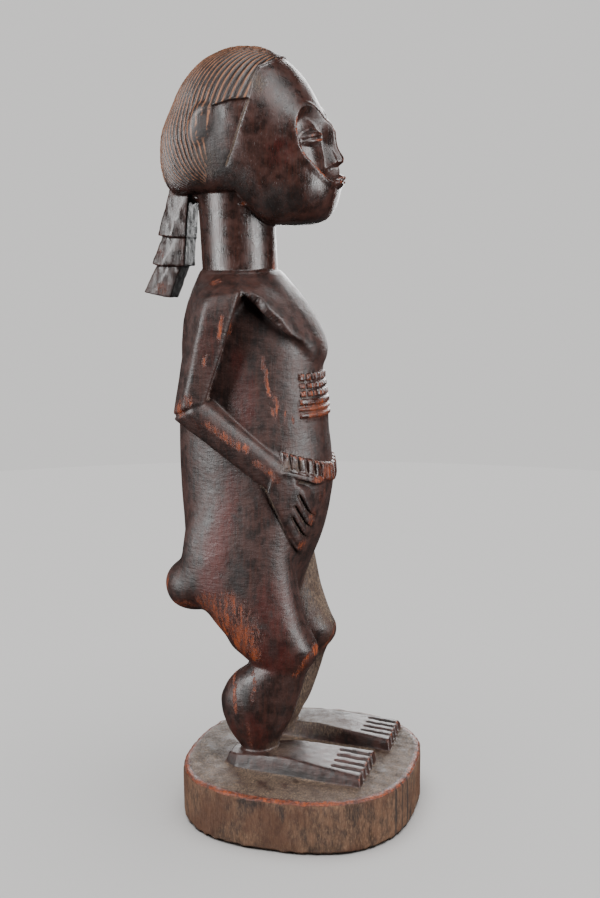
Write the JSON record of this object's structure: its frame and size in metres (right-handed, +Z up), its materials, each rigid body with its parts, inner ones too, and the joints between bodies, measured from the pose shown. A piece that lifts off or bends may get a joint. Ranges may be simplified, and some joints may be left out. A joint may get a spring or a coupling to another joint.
{
  "type": "carved ancestor figure",
  "caption": "Carved wooden standing figure with bent knees, hands on the belly, combed-ridge hair and a hanging braid, on a rounded square base cut from the same block",
  "frame": {"origin": "the middle of the underside of the base, on the surface the figure stands on", "axes": "+Z up through the figure, -Y the way it faces, +X towards its own left side"},
  "size_m": [0.129, 0.1492, 0.3993],
  "materials": {
    "carved_wood": "dark hand-rubbed patina, semi-gloss, worn to red-brown and orange on edges, dusty bare base"
  },
  "bodies": {
    "root": {"ancestor_figure": "carved_wood"}
  },
  "joints": []
}
